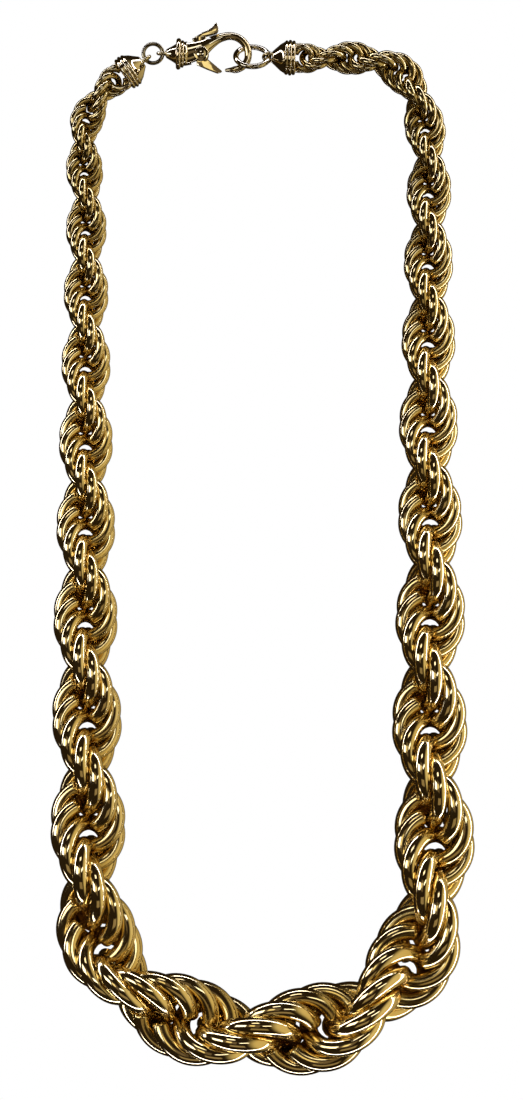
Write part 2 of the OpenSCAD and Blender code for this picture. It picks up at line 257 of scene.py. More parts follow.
class Rope:
    """The rope's axis and the place, size and turn of each link, in millimetres."""

    def __init__(self, sizes, places):
        self.z = in_mm(sizes, "axis_height")
        self.d_end = in_mm(sizes, "end_diameter")
        self.d_mid = in_mm(sizes, "middle_diameter")
        self.power = sizes.taper_power
        self.ratio = sizes.turn_ratio
        self.ratio_mid = sizes.turn_ratio_mid
        self.per_turn = sizes.links_per_turn
        self.wire = sizes.wire_share
        self.first_turn = sizes.first_turn
        self.lay_axis(places)
        self.count_links(in_mm(sizes, "first_link"))

    def lay_axis(self, places):
        """Lays a smooth curve through the chosen points, and measures along it."""
        start, end = way(LEFT_HEADING), -way(places.turn)
        p = [LEFT_MOUTH, LEFT_MOUTH + LEAD * start]
        p += [Vector((x, y, 0)) - MIDDLE for x, y in ROUTE_POINTS]
        p += [places.right_mouth - LEAD * end, places.right_mouth]
        last = len(p) - 1
        knots = running([(b - a).length for a, b in zip(p, p[1:])])
        inner = [(p[i + 1] - p[i - 1]) / (knots[i + 1] - knots[i - 1]) for i in range(1, last)]
        slopes = [start] + inner + [end]
        path = [on_curve(p[i], slopes[i], p[i + 1], slopes[i + 1], q / SPAN_STEPS, knots[i + 1] - knots[i])
                for i in range(last) for q in range(SPAN_STEPS)] + [p[last]]
        self.spans = [(b - a).length for a, b in zip(path, path[1:])]
        self.along = running(self.spans)
        self.length = self.along[-1]
        self.xs = [v.x for v in path]
        self.ys = [v.y for v in path]

    def count_links(self, first):
        """Counts the links along the axis, so that the last one is as far from its cap as the first."""
        self.count = running([h * (1 / self.spacing(a) + 1 / self.spacing(b)) / 2
                              for h, a, b in zip(self.spans, self.along, self.along[1:])])
        self.first = lookup(first, self.along, self.count)
        final = lookup(self.length - first, self.along, self.count)
        self.n = round(final - self.first)
        self.step = (final - self.first) / self.n

    def share_along(self, s):
        """0 at either cap and 1 at the bottom middle, for a distance along the axis."""
        return min(1.0, max(0.0, 1 - abs(1 - 2 * s / self.length)))

    def diameter(self, s):
        """The rope's diameter at a distance along the axis."""
        return self.d_end + (self.d_mid - self.d_end) * (1 - (1 - self.share_along(s)) ** self.power)

    def spacing(self, s):
        """The distance between neighbouring links there."""
        ratio = self.ratio + (self.ratio_mid - self.ratio) * self.share_along(s)
        return self.diameter(s) * ratio / self.per_turn

    def axis(self, s):
        """The point of the axis there, which is higher where the rope is thick."""
        return Vector((lookup(s, self.along, self.xs), lookup(s, self.along, self.ys),
                       max(self.z, self.diameter(s) / 2)))

    def link(self, i):
        """The frame of link i, scaled so that its mean radius is 1."""
        s = lookup(self.first + i * self.step, self.count, self.along)
        ahead = (self.axis(s + 1) - self.axis(s - 1)).normalized()
        side = Vector((0, 0, 1)).cross(ahead).normalized()
        up = ahead.cross(side)
        turn = self.first_turn - i * math.pi / self.per_turn
        across = math.cos(turn) * side + math.sin(turn) * up
        turned = Matrix((across, ahead, across.cross(ahead))).transposed().to_4x4()
        radius = self.diameter(s) / 2 / (1 + self.wire)
        first_part = i <= self.n // 2 + PAST_MIDDLE
        opens_back = (i % OPENING_CYCLE == ODD_LINK) != first_part
        flip = Matrix.Rotation(math.pi * opens_back, 4, "Z")
        return Matrix.Translation(self.axis(s)) @ turned @ Matrix.Scale(radius, 4) @ flip


# Making shapes

def new_verts(bm, before):
    """The vertices that were added to bm since it had that many."""
    bm.verts.ensure_lookup_table()
    return bm.verts[before:]


def place(bm, before, matrix):
    """Moves the newest vertices of bm by a matrix."""
    bmesh.ops.transform(bm, matrix=matrix, verts=new_verts(bm, before))


def wire_ring(bm, radius, wire, matrix, steps, sides, opening=0.0):
    """A round wire bent to a circle about Z, closed, or open over an angle on its +Y side."""
    before = len(bm.verts)
    made = bmesh.ops.create_circle(bm, cap_ends=False, radius=wire, segments=sides)["verts"]
    bmesh.ops.rotate(bm, cent=(0, 0, 0), matrix=Matrix.Rotation(math.pi / 2, 3, "X"), verts=made)
    bmesh.ops.translate(bm, vec=(radius, 0, 0), verts=made)
    start = Matrix.Rotation((math.pi + opening) / 2, 3, "Z")
    bmesh.ops.rotate(bm, cent=(0, 0, 0), matrix=start, verts=made)
    edges = list({e for v in made for e in v.link_edges})
    bmesh.ops.spin(bm, geom=made + edges, cent=(0, 0, 0), axis=(0, 0, 1), angle=2 * math.pi - opening,
                   steps=steps, use_merge=not opening)
    if opening:
        bmesh.ops.holes_fill(bm, edges=[e for e in bm.edges if e.is_boundary], sides=0)
    place(bm, before, matrix)


def lathe(bm, profile, matrix, steps):
    """A profile of (distance along X, radius) turned about X and closed at its ends."""
    before = len(bm.verts)
    verts = [bm.verts.new((x, max(r, 0.0), 0)) for x, r in profile]
    edges = [bm.edges.new(pair) for pair in zip(verts, verts[1:])]
    bmesh.ops.spin(bm, geom=verts + edges, cent=(0, 0, 0), axis=(1, 0, 0), angle=2 * math.pi,
                   steps=steps, use_merge=True)
    bmesh.ops.remove_doubles(bm, verts=new_verts(bm, before), dist=1e-4)
    place(bm, before, matrix)


def sweep(bm, stations, matrix, sides):
    """A closed tube through stations of (place, heading about Z, half width, half height)."""
    before = len(bm.verts)

    def stand(station):
        """The matrix that stands a unit circle across the tube."""
        p, heading, wide, high = station
        return (Matrix.Translation(p) @ Matrix.Rotation(heading, 4, "Z")
                @ Matrix.Diagonal((1, wide, high, 1)) @ Matrix.Rotation(math.pi / 2, 4, "Y"))

    ring = bmesh.ops.create_circle(bm, cap_ends=True, radius=1.0, segments=sides)["verts"]
    bmesh.ops.transform(bm, matrix=stand(stations[0]), verts=ring)
    edges = list({e for v in ring for e in v.link_edges if len(e.link_faces) == 1})
    for a, b in zip(stations, stations[1:]):
        made = bmesh.ops.extrude_edge_only(bm, edges=edges)["geom"]
        ring = [g for g in made if isinstance(g, bmesh.types.BMVert)]
        edges = [g for g in made if isinstance(g, bmesh.types.BMEdge)]
        bmesh.ops.transform(bm, matrix=stand(b) @ stand(a).inverted(), verts=ring)
    bmesh.ops.edgeloop_fill(bm, edges=edges)
    place(bm, before, matrix)


def plate(bm, outline, low, high, matrix, bevel=0.0, segments=2):
    """A flat outline in XY, from height low to high, with its edges rounded."""
    before = len(bm.verts)
    verts = [bm.verts.new((x, y, low)) for x, y in outline]
    face = bm.faces.new(verts)
    made = bmesh.ops.extrude_face_region(bm, geom=[face])["geom"]
    top = [g for g in made if isinstance(g, bmesh.types.BMVert)]
    bmesh.ops.translate(bm, vec=(0, 0, high - low), verts=top)
    if bevel:
        edges = list({e for v in new_verts(bm, before) for e in v.link_edges})
        bmesh.ops.bevel(bm, geom=edges, offset=bevel, segments=segments, profile=0.5, affect="EDGES",
                        clamp_overlap=True, material=-1)
    place(bm, before, matrix)


def curve_through(points, steps):
    """Points on a smooth curve through rows of numbers, with some steps from each row to the next."""
    rows = [Vector(p) for p in points]
    out = []
    for i in range(len(rows) - 1):
        a, b = rows[i], rows[i + 1]
        slope_a = (b - rows[i - 1]) / 2 if i else b - a
        slope_b = (rows[i + 2] - a) / 2 if i + 2 < len(rows) else b - a
        out += [on_curve(a, slope_a, b, slope_b, q / steps) for q in range(steps)]
    return out + [rows[-1]]


def arc_rows(x, r, radius, a0, a1, steps):
    """Rows of (x, r) on an arc about a point of a lathe profile, angles in degrees from +X."""
    return [(x + radius * math.cos(math.radians(a0 + (a1 - a0) * k / steps)),
             r + radius * math.sin(math.radians(a0 + (a1 - a0) * k / steps))) for k in range(steps + 1)]


def shell(name, bm, outward=True):
    """An object at the origin from a bmesh in millimetres, which is freed."""
    if outward:
        bmesh.ops.recalc_face_normals(bm, faces=bm.faces)
    bmesh.ops.scale(bm, vec=(MM, MM, MM), verts=bm.verts)
    mesh = bpy.data.meshes.new(name)
    bm.to_mesh(mesh)
    bm.free()
    obj = bpy.data.objects.new(name, mesh)
    bpy.context.scene.collection.objects.link(obj)
    return obj


def solid(name, make, *sizes):
    """An object of its own from one of the making functions above."""
    bm = bmesh.new()
    make(bm, *sizes)
    return shell(name, bm)


def cut_or_join(obj, other, operation):
    """Joins another solid to obj, or cuts it away, and deletes the other."""
    mod = obj.modifiers.new(operation, "BOOLEAN")
    mod.operation, mod.object, mod.solver = operation, other, "EXACT"
    evaluated = obj.evaluated_get(bpy.context.evaluated_depsgraph_get())
    baked = bpy.data.meshes.new_from_object(evaluated)
    obj.modifiers.clear()
    old = obj.data
    obj.data = baked
    bpy.data.meshes.remove(old)
    bpy.data.objects.remove(other)


def finish_piece(obj, body, node, slot, sharp, kind=None):
    """Smooth shading, the gold of its slot or of a kind of its own, and the piece's place in the frame."""
    for poly in obj.data.polygons:
        poly.use_smooth = True
    obj.data.set_sharp_from_angle(angle=math.radians(sharp))
    obj.data.materials.clear()
    obj.data.materials.append(finish_for(kind or slot))
    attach(obj, body)
    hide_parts(node)


# Materials

PATCH_SCALE = 140.0  # soft patches of light and deep gold, in cells a metre
PATCH_EDGES = (0.36, 0.62)  # noise values between which the deep gold turns light
RUB_SCALE = 2600.0  # rubbed marks, in cells a metre
RUB_GRAIN = 0.65  # how strong the finest of the marks are
RUB_EDGES = (0.35, 0.7)  # noise values between which the polish turns worn
THIN_EDGES = (0.02, 0.09)  # painted shade: Y in metres between which the rope's colour darkens towards the clasp
RECESS_ROUGHNESS = 0.12  # roughness that the deepest recess adds
STREAK_SCALE = 3.0  # drawn streaks, in cells a unit of the attribute "drawn"
# for each kind of gold: its colours, dents a metre, and the depths of dents and streaks in millimetres
GOLDS = {"rope_gold": ("rope", 300.0, 0.016, 0.0025),
         "clasp_gold": ("clasp", 280.0, 0.025, 0.0),
         "ring_gold": ("ring", 280.0, 0.015, 0.0),
         # the jump ring's colours are painted shade, a darker copy of the rings' gold
         "jump_ring": ("jump", 280.0, 0.015, 0.0)}


def blank_material(name):
    """A material with an empty node tree."""
    mat = bpy.data.materials.new(name)
    mat.use_nodes = True
    mat.node_tree.nodes.clear()
    return mat


def node(tree, kind, inputs=None, **settings):
    """Adds a node, sets its properties and its sockets: a value, or a link from a socket."""
    made = tree.nodes.new(kind)
    for key, value in settings.items():
        setattr(made, key, value)
    for key, value in (inputs or {}).items():
        if isinstance(value, bpy.types.NodeSocket):
            tree.links.new(value, made.inputs[key])
        else:
            made.inputs[key].default_value = value
    return made


def noise(tree, where, scale, detail, grain=0.5):
    """The value of a noise pattern, with its scale in cells a unit."""
    return node(tree, "ShaderNodeTexNoise",
                {"Vector": where, "Scale": scale, "Detail": detail, "Roughness": grain}).outputs["Fac"]


def value_range(tree, value, start, end, results=(0.0, 1.0), kind="SMOOTHSTEP"):
    """A number that goes from the first result to the second as a value goes from start to end."""
    inputs = {"Value": value, "From Min": start, "From Max": end,
              "To Min": results[0], "To Max": results[1]}
    return node(tree, "ShaderNodeMapRange", inputs, interpolation_type=kind).outputs["Result"]


def maths(tree, operation, *values):
    """The result of an operation on numbers or sockets."""
    return node(tree, "ShaderNodeMath", dict(enumerate(values)), operation=operation).outputs[0]


def times(tree, colour, amount):
    """A colour times a number."""
    return node(tree, "ShaderNodeVectorMath", {0: colour, 3: amount}, operation="SCALE").outputs[0]


def gold(name, light, deep, finish, dent_scale, dent_depth, streak_depth):
    """Polished gold: two tones in soft patches, rubbed marks, hand-made unevenness, drawn streaks, and
    painted shade on the rope.
    """
    mat = blank_material(name)
    tree = mat.node_tree
    where = node(tree, "ShaderNodeTexCoord").outputs["Object"]
    tones = node(tree, "ShaderNodeValToRGB", {"Fac": noise(tree, where, PATCH_SCALE, 3.0)})
    for stop, position, tone in zip(tones.color_ramp.elements, PATCH_EDGES, (deep, light)):
        stop.position = position
        stop.color = (*tone, 1)
    colour = tones.outputs["Color"]
    rubbed = noise(tree, where, RUB_SCALE, 4.0, RUB_GRAIN)
    gloss = value_range(tree, rubbed, *RUB_EDGES, (finish.gloss_low, finish.gloss_high), "LINEAR")
    if streak_depth:
        # painted shade: the deeper a point lies in the rope, the more amber its colour; the depth also
        # roughens it
        depth = node(tree, "ShaderNodeAttribute", attribute_name="recess").outputs["Fac"]
        dark = node(tree, "ShaderNodeMix", {0: depth, 6: colour, 7: (*finish.rope_recess_shade, 1)},
                    data_type="RGBA").outputs[2]
        # painted shade: the rope's colour is darkened towards its thin ends by the clasp
        place_up = node(tree, "ShaderNodeSeparateXYZ", {"Vector": where}).outputs["Y"]
        colour = times(tree, dark, value_range(tree, place_up, *THIN_EDGES, (1.0, finish.thin_shade)))
        gloss = maths(tree, "MULTIPLY_ADD", depth, RECESS_ROUGHNESS, gloss)
    dents = noise(tree, where, dent_scale, 1.0)
    bump = node(tree, "ShaderNodeBump", {"Strength": 1.0, "Distance": dent_depth * MM, "Height": dents})
    if streak_depth:
        along = node(tree, "ShaderNodeAttribute", attribute_name="drawn").outputs["Vector"]
        bump = node(tree, "ShaderNodeBump", {
            "Strength": 1.0, "Distance": streak_depth * MM, "Height": noise(tree, along, STREAK_SCALE, 2.0),
            "Normal": bump.outputs["Normal"]})
    shader = node(tree, "ShaderNodeBsdfPrincipled", {
        "Base Color": colour, "Metallic": 1.0, "Roughness": gloss,
        "Normal": bump.outputs["Normal"]})
    node(tree, "ShaderNodeOutputMaterial", {"Surface": shader.outputs["BSDF"]})
    return mat


def finish_for(kind):
    """The gold of a kind, made on first use under a name of its own."""
    name = "polished_" + kind
    if name in bpy.data.materials:
        return bpy.data.materials[name]
    finish = bpy.context.scene.necklace_finish
    colours, dent_scale, dent_depth, streak_depth = GOLDS[kind]
    light = getattr(finish, colours + "_light")
    deep = getattr(finish, colours + "_deep")
    return gold(name, light, deep, finish, dent_scale, dent_depth, streak_depth)


# The pieces, with their lengths in millimetres

AXIS_SAMPLES = 240  # places on the rope's axis from which a point's depth is measured
RECESS_REACH = 0.55  # depth of a full recess, as a share of the rope's radius
STREAK_TURN = 0.2  # how far the streaks' pattern goes in one radian round a link
STREAK_STEP = 7.3  # how far it goes from one link to the next
CAP_RIBS = 3
RIB_SHARE = 0.92  # radius of a rib's round back, as a share of the rib's own
OUTER_RIB_DROP = 0.12  # how much lower the outer ribs are than the middle one
GROOVE = 0.06  # depth of the grooves between the ribs, below the sleeve
LIP = 0.08  # bevel of a cap's mouth
EYE_OVERLAP = 0.3  # how far a cap's cone goes into its eye


def settings():
    """The property groups and the places and rope worked out from them."""
    scene = bpy.context.scene
    places = Places(scene.necklace_clasp, scene.necklace_rope)
    return scene.necklace_rope, scene.necklace_clasp, places, Rope(scene.necklace_rope, places)


def mark_points(obj, rope, pattern, count):
    """Stores how deep each point lies in the rope, and where on its wire it lies for the drawn streaks."""
    distances = [rope.length * k / AXIS_SAMPLES for k in range(AXIS_SAMPLES + 1)]
    half = [rope.diameter(s) / 2 for s in distances]
    tree = KDTree(len(distances))
    for k, s in enumerate(distances):
        tree.insert(rope.axis(s), k)
    tree.balance()
    recess, drawn = [], []
    for vertex in obj.data.vertices:
        _, k, away = tree.find(vertex.co / MM)
        recess.append(min(1.0, max(0.0, (1.0 - away / half[k]) / RECESS_REACH)))
    for link in range(count):
        for p in pattern:
            drawn += [(math.hypot(p.x, p.y) - 1) / rope.wire, p.z / rope.wire,
                      STREAK_TURN * math.atan2(p.y, p.x) + STREAK_STEP * link]
    obj.data.attributes.new("recess", "FLOAT", "POINT").data.foreach_set("value", recess)
    obj.data.attributes.new("drawn", "FLOAT_VECTOR", "POINT").data.foreach_set("vector", drawn)


def rope_piece(name, links, replaced):
    """One run of links as one piece."""
    sizes, _, _, rope = settings()
    pattern = bmesh.new()
    wire_ring(pattern, 1.0, rope.wire, Matrix.Identity(4), sizes.link_steps, sizes.wire_sides,
              sizes.link_opening)
    bmesh.ops.recalc_face_normals(pattern, faces=pattern.faces)
    one = bpy.data.meshes.new("one_link")
    pattern.to_mesh(one)
    pattern.free()
    points = [v.co.copy() for v in one.vertices]
    bm = bmesh.new()
    for i in links(rope.n):
        before = len(bm.verts)
        bm.from_mesh(one)
        place(bm, before, rope.link(i))
    bpy.data.meshes.remove(one)
    obj = shell(name, bm, outward=False)
    mark_points(obj, rope, points, len(links(rope.n)))
    finish_piece(obj, "necklace", replaced, "rope_gold", sharp=180)


class MakeRope(bpy.types.Operator):
    """Builds the two runs of links"""

    bl_idname = "necklace.make_rope"
    bl_label = "Make Rope"

    def execute(self, context):
        rope_piece("rope_left_links", lambda n: range(0, n // 2 + 1), "rope_left")
        rope_piece("rope_right_links", lambda n: range(n // 2 + 1, n + 1), "rope_right")
        return {"FINISHED"}


def cap_profile(clasp, top):
    """Half of a cap's section as (distance from its mouth, radius), with its middle rib as high as top."""
    sleeve, mouth = in_mm(clasp, "sleeve_radius"), in_mm(clasp, "mouth_radius")
    depth, long = in_mm(clasp, "mouth_depth"), in_mm(clasp, "sleeve_length")
    rib, tip = in_mm(clasp, "rib_radius") * RIB_SHARE, in_mm(clasp, "tip_radius")
    pitch = long / CAP_RIBS
    cone_end = in_mm(clasp, "cap_eye_reach") - in_mm(clasp, "cap_eye_radius") + EYE_OVERLAP
    profile = [(depth, 0), (depth, mouth * 0.6), (depth, mouth), (LIP, mouth), (0.0, mouth + LIP)]
    for k in range(CAP_RIBS):
        crown = top - (OUTER_RIB_DROP if k != CAP_RIBS // 2 else 0.0)
        profile += arc_rows((k + 0.5) * pitch, crown - rib, rib, 172, 8, 8)
        profile.append(((k + 1) * pitch, sleeve - GROOVE))
    profile += [(long + 0.05, sleeve - 0.16), (long + 0.8, sleeve - 0.62), (cone_end - 0.25, tip + 0.1)]
    return profile + [(cone_end - 0.06, tip - 0.06), (cone_end, tip - 0.25), (cone_end, 0)]


def cap_piece(name, replaced, mouth, heading, eye_lean, link):
    """A ribbed cap with a hollow sleeve, its eye, and the link that is soldered in it."""
    sizes, clasp, places, rope = settings()
    here = Matrix.Translation(mouth + places.lift) @ Matrix.Rotation(heading + math.pi, 4, "Z")
    eye = here @ Matrix.Translation((in_mm(clasp, "cap_eye_reach"), 0, 0))
    eye = eye @ Matrix.Rotation(eye_lean, 4, "X")
    radius, wire = in_mm(clasp, "cap_eye_radius"), in_mm(clasp, "eye_wire")
    cap = solid(name, lathe, cap_profile(clasp, places.lift.z), here, 72)
    cut_or_join(cap, solid("eye", wire_ring, radius, wire, eye, 40, 12), "UNION")
    cut_or_join(cap, solid("soldered_link", wire_ring, 1.0, rope.wire, rope.link(link), sizes.link_steps,
                           sizes.wire_sides), "UNION")
    finish_piece(cap, "necklace", replaced, "clasp_gold", sharp=50)


class MakeEndCaps(bpy.types.Operator):
    """Builds the two ribbed end caps"""

    bl_idname = "necklace.make_end_caps"
    bl_label = "Make End Caps"

    def execute(self, context):
        _, clasp, places, rope = settings()
        cap_piece("end_cap_left_cap", "end_cap_left", LEFT_MOUTH, LEFT_HEADING, math.pi / 2, -1)
        cap_piece("end_cap_right_cap", "end_cap_right", places.right_mouth, places.turn,
                  -(math.pi / 2 - clasp.ring_lean), rope.n + 1)
        return {"FINISHED"}


class MakeRings(bpy.types.Operator):
    """Builds the jump ring and the ring that the hook holds"""

    bl_idname = "necklace.make_rings"
    bl_label = "Make Rings"

    def execute(self, context):
        _, clasp, places, _ = settings()
        flat = Matrix.Translation(places.jump + places.lift)
        jump = solid("jump_ring_wire", wire_ring, in_mm(clasp, "jump_radius"), in_mm(clasp, "jump_wire"),
                     flat, 64, 16)
        # the jump ring gets its own gold, darkened as painted shade
        finish_piece(jump, "necklace", "jump_ring", "ring_gold", sharp=180, kind="jump_ring")
        leaning = (places.at_rivet() @ Matrix.Translation(RING_OFFSET)
                   @ Matrix.Rotation(-clasp.ring_lean, 4, "X"))
        held = solid("clasp_ring_wire", wire_ring, in_mm(clasp, "ring_radius"), in_mm(clasp, "ring_wire"),
                     leaning, 80, 18)
        finish_piece(held, "necklace", "clasp_ring", "ring_gold", sharp=180)
        return {"FINISHED"}


# The clasp, seen from above about the rivet, in millimetres and degrees

ARM = ((-3.4, 0, 2.25), (-2.2, 0.25, 2.2), (-0.6, 0.85, 1.95), (1.4, 2.1, 1.25), (3.1, 3.05, 0.88))
BEND_MIDDLE = Vector((5.3, 0.1, 0))  # middle of the hook's large bend
BEND_START = 102  # where the arm meets the large bend
SMALL_START = -8  # first section of the small bend
TIP_TURN = -85  # where the small bend ends and the tip begins
BEND_STEP = 7  # from one section of a bend to the next
ROOT_SWELL = 0.07  # how much thicker the hook's wire is where the arm meets the bend
BEND_SWELL = 0.06  # the same at 100 degrees of the large bend, and none at 0
SMALL_LOSS = 0.02  # how much thinner the small bend is
CHEEK_STEP = 0.03  # how far the arm's cheeks lie below the boss
# sectors of the fork's gap: first and last angle, and what the sector is for
FORK_SECTORS = ((-142, 0, "gate"), (0, 60, "hub"), (60, 155, "thumb"), (155, 218, "hub"))
SECTOR_STEPS = 8
GATE_LINE = ((0.6, -0.35), (3.88, -2.98), (3.98, -3.1), (3.8, -3.27), (3.1, -3.5), (1.05, -2.75),
             (-0.8, -1.95), (-1.1, -0.3))
GATE_MARGIN = 0.1  # how much thinner the gate is than the lever, on each side
GATE_LEAN = ((2.0, -1.9), (0.14, 0.02))  # the point about which it tilts, and its slopes along X and Y
WEB_LINE = ((-0.6, 0.7), (-1.8, 2.75), (-1, 3.35), (0.1, 3.95), (0.8, 3.7), (0.8, 3), (0.5, 0.6))
PAD_LINE = ((-1.75, 2.7), (0.05, 3.22), (0.7, 3.38), (2.75, 4.02), (3, 4.3), (3.1, 4.8), (2.72, 5.92),
            (2.5, 5.75), (1.9, 5), (1, 4.4), (0.05, 4.05), (-1, 3.4), (-1.8, 2.95))
PAD_LEAN = ((1.5, 4.5), (0.13, 0.02))
PAD_TAPER = (-1.5, 1.2, 0.33)  # from this share of its width at the first X to all of it at the second
BOSS_RIM = 0.2  # how much wider the boss is than the lever's hub, and the rounding of its rims
HUB_RIM = 0.08  # rounding of the rims of the lever's hub
PIN_GAP = 0.05  # gap between the rivet's pin and its bores
BORE_REACH = 3  # how far a bore is cut above and below the rivet's middle
# a rivet's head: height above the cheek, and radius as a share of the head's
HEAD_DOME = ((0.34, 0), (0.32, 0.3), (0.25, 0.62), (0.14, 0.9), (0.08, 1), (0.03, 1))
UPRIGHT = Matrix.Rotation(-math.pi / 2, 4, "Y")


def claw_stations(clasp):
    """Places, headings, half widths and half heights along the claw, from its foot to its tip."""
    wire = in_mm(clasp, "hook_wire")
    big, small = in_mm(clasp, "hook_radius"), in_mm(clasp, "small_radius")
    start = BEND_MIDDLE + big * way(math.radians(BEND_START))
    rows = curve_through(ARM + ((start.x, start.y, wire + ROOT_SWELL),), 5)
    for a in range(BEND_START - BEND_STEP, -1, -BEND_STEP):
        p = BEND_MIDDLE + big * way(math.radians(a))
        rows.append(Vector((p.x, p.y, wire + BEND_SWELL * a / 100)))
    centre = BEND_MIDDLE + Vector((big - small, 0, 0))
    for a in range(SMALL_START, TIP_TURN - 1, -BEND_STEP):
        p = centre + small * way(math.radians(a))
        rows.append(Vector((p.x, p.y, wire - SMALL_LOSS)))
    ahead = -way(math.radians(TIP_TURN + 90))
    end = rows[-1].xy.to_3d()
    long, tip = in_mm(clasp, "tip_length"), in_mm(clasp, "hook_tip_radius")
    for u, r in ((0.3, 0.5), (0.9, tip + 0.04), (0.97, tip * 0.85), (1.0, tip * 0.35)):
        p = end + u * long * ahead
        rows.append(Vector((p.x, p.y, r)))
    high = in_mm(clasp, "cheek_height") - CHEEK_STEP
    stations = []
    for i, row in enumerate(rows):
        ahead = rows[min(i + 1, len(rows) - 1)] - rows[max(i - 1, 0)]
        stations.append((row.xy.to_3d(), math.atan2(ahead.y, ahead.x), row.z, min(row.z, high)))
    return stations


def foot_profile():
    """Half of the foot's section: the cone behind the eye, a large and a small rib, and a shoulder."""
    cone = [(-6.75, 0), (-6.72, 0.5), (-6.5, 0.85), (-5.9, 1.18), (-5.2, 1.58), (-4.8, 1.86), (-4.72, 2.15)]
    large_rib = arc_rows(-4.27, 2.5, 0.45, 180, 0, 10)
    small_rib = arc_rows(-3.55, 2.3, 0.27, 180, 0, 8)
    shoulder = [(-3.24, 2.2), (-2.95, 2.2), (-2.7, 2.05), (-2.5, 1.7), (-2.4, 1.2), (-2.4, 0)]
    return cone + large_rib + [(-3.84, 2.2)] + small_rib + shoulder


def fork_outline(clasp):
    """The fork's gap seen from above: a circle for the hub, and sectors for the gate and the thumb."""
    reach = {"hub": in_mm(clasp, "hub_radius") + in_mm(clasp, "fork_gap"),
             "gate": in_mm(clasp, "gate_reach"), "thumb": in_mm(clasp, "thumb_reach")}
    outline = []
    for start, end, kind in FORK_SECTORS:
        for k in range(SECTOR_STEPS + 1):
            corner = reach[kind] * way(math.radians(start + (end - start) * k / SECTOR_STEPS))
            outline.append(tuple(corner.xy))
    return outline


def leaning_plate(bm, outline, low, high, bevel, middle, slopes, taper=None):
    """A rounded plate that tilts about a point seen from above, and may be thinned towards -X."""
    plate(bm, outline, low, high, Matrix.Identity(4), bevel, 3)
    for v in bm.verts:
        if taper:
            u = min(1.0, max(0.0, (v.co.x - taper[0]) / (taper[1] - taper[0])))
            v.co.z *= taper[2] + (1 - taper[2]) * u
        v.co.z += slopes[0] * (v.co.x - middle[0]) + slopes[1] * (v.co.y - middle[1])


def drum(radius, half, rounding):
    """The lathe profile of a cylinder with rounded rims."""
    return ([(-half, 0)] + arc_rows(-half + rounding, radius - rounding, rounding, 180, 90, 3)
            + arc_rows(half - rounding, radius - rounding, rounding, 90, 0, 3) + [(half, 0)])


def cut_bore(obj, clasp):
    """Cuts the hole for the rivet's pin."""
    wide = in_mm(clasp, "pin_radius") + PIN_GAP
    profile = [(-BORE_REACH, 0), (-BORE_REACH, wide), (BORE_REACH, wide), (BORE_REACH, 0)]
    cut_or_join(obj, solid("bore", lathe, profile, UPRIGHT, 32), "DIFFERENCE")


def put_in_place(obj, matrix):
    """Moves a finished shape by a matrix in millimetres."""
    obj.data.transform(Matrix.Scale(MM, 4) @ matrix @ Matrix.Scale(1 / MM, 4))


class MakeClaw(bpy.types.Operator):
    """Builds the claw's body: its foot with ribs and eye, and the arm that bends into the hook"""

    bl_idname = "necklace.make_claw"
    bl_label = "Make Claw"

    def execute(self, context):
        _, clasp, places, _ = settings()
        flat = Matrix.Identity(4)
        boss = drum(in_mm(clasp, "hub_radius") + BOSS_RIM, in_mm(clasp, "cheek_height"), BOSS_RIM)
        eye = Matrix.Translation((-in_mm(clasp, "foot_length"), 0, 0))
        eye = eye @ Matrix.Rotation(math.pi / 2, 4, "X")
        radius, wire = in_mm(clasp, "clasp_eye_radius"), in_mm(clasp, "eye_wire")
        half = in_mm(clasp, "lever_thickness") / 2 + in_mm(clasp, "fork_rise")
        body = solid("clasp_body_claw", lathe, foot_profile(), flat, 72)
        cut_or_join(body, solid("arm", sweep, claw_stations(clasp), flat, 28), "UNION")
        cut_or_join(body, solid("boss", lathe, boss, UPRIGHT, 48), "UNION")
        cut_or_join(body, solid("eye", wire_ring, radius, wire, eye, 40, 14), "UNION")
        cut_or_join(body, solid("fork", plate, fork_outline(clasp), -half, half, flat), "DIFFERENCE")
        cut_bore(body, clasp)
        put_in_place(body, places.at_rivet())
        finish_piece(body, "necklace", "clasp_body", "clasp_gold", sharp=35)
        return {"FINISHED"}


class MakeLever(bpy.types.Operator):
    """Builds the lever: its hub, the gate that closes the hook, and the thumb pad on its web"""

    bl_idname = "necklace.make_lever"
    bl_label = "Make Lever"

    def execute(self, context):
        _, clasp, places, _ = settings()
        half, pad = in_mm(clasp, "lever_thickness") / 2, in_mm(clasp, "pad_width") / 2
        hub = drum(in_mm(clasp, "hub_radius"), half, HUB_RIM)
        gate = half - GATE_MARGIN
        lever = solid("clasp_lever_gate", lathe, hub, UPRIGHT, 40)
        cut_or_join(lever, solid("gate", leaning_plate, GATE_LINE, -gate, gate, 0.12, *GATE_LEAN), "UNION")
        cut_or_join(lever, solid("web", plate, WEB_LINE, -half, half, Matrix.Identity(4), 0.1, 2), "UNION")
        cut_or_join(lever, solid("pad", leaning_plate, PAD_LINE, -pad, pad, 0.1, *PAD_LEAN, PAD_TAPER),
                    "UNION")
        cut_bore(lever, clasp)
        put_in_place(lever, places.at_rivet())
        finish_piece(lever, "lever", "clasp_lever", "clasp_gold", sharp=35)
        return {"FINISHED"}


class MakeRivet(bpy.types.Operator):
    """Builds the rivet: its pin and two domed heads"""

    bl_idname = "necklace.make_rivet"
    bl_label = "Make Rivet"

    def execute(self, context):
        _, clasp, places, _ = settings()
        cheek, head = in_mm(clasp, "cheek_height"), in_mm(clasp, "head_radius")
        half = [(cheek + rise, head * part) for rise, part in HEAD_DOME]
        half.append((half[-1][0], in_mm(clasp, "pin_radius")))
        profile = half + [(-x, r) for x, r in reversed(half)]
        rivet = solid("clasp_rivet_heads", lathe, profile, places.at_rivet() @ UPRIGHT, 40)
        finish_piece(rivet, "necklace", "clasp_rivet", "ring_gold", sharp=50)
        return {"FINISHED"}


# The stage

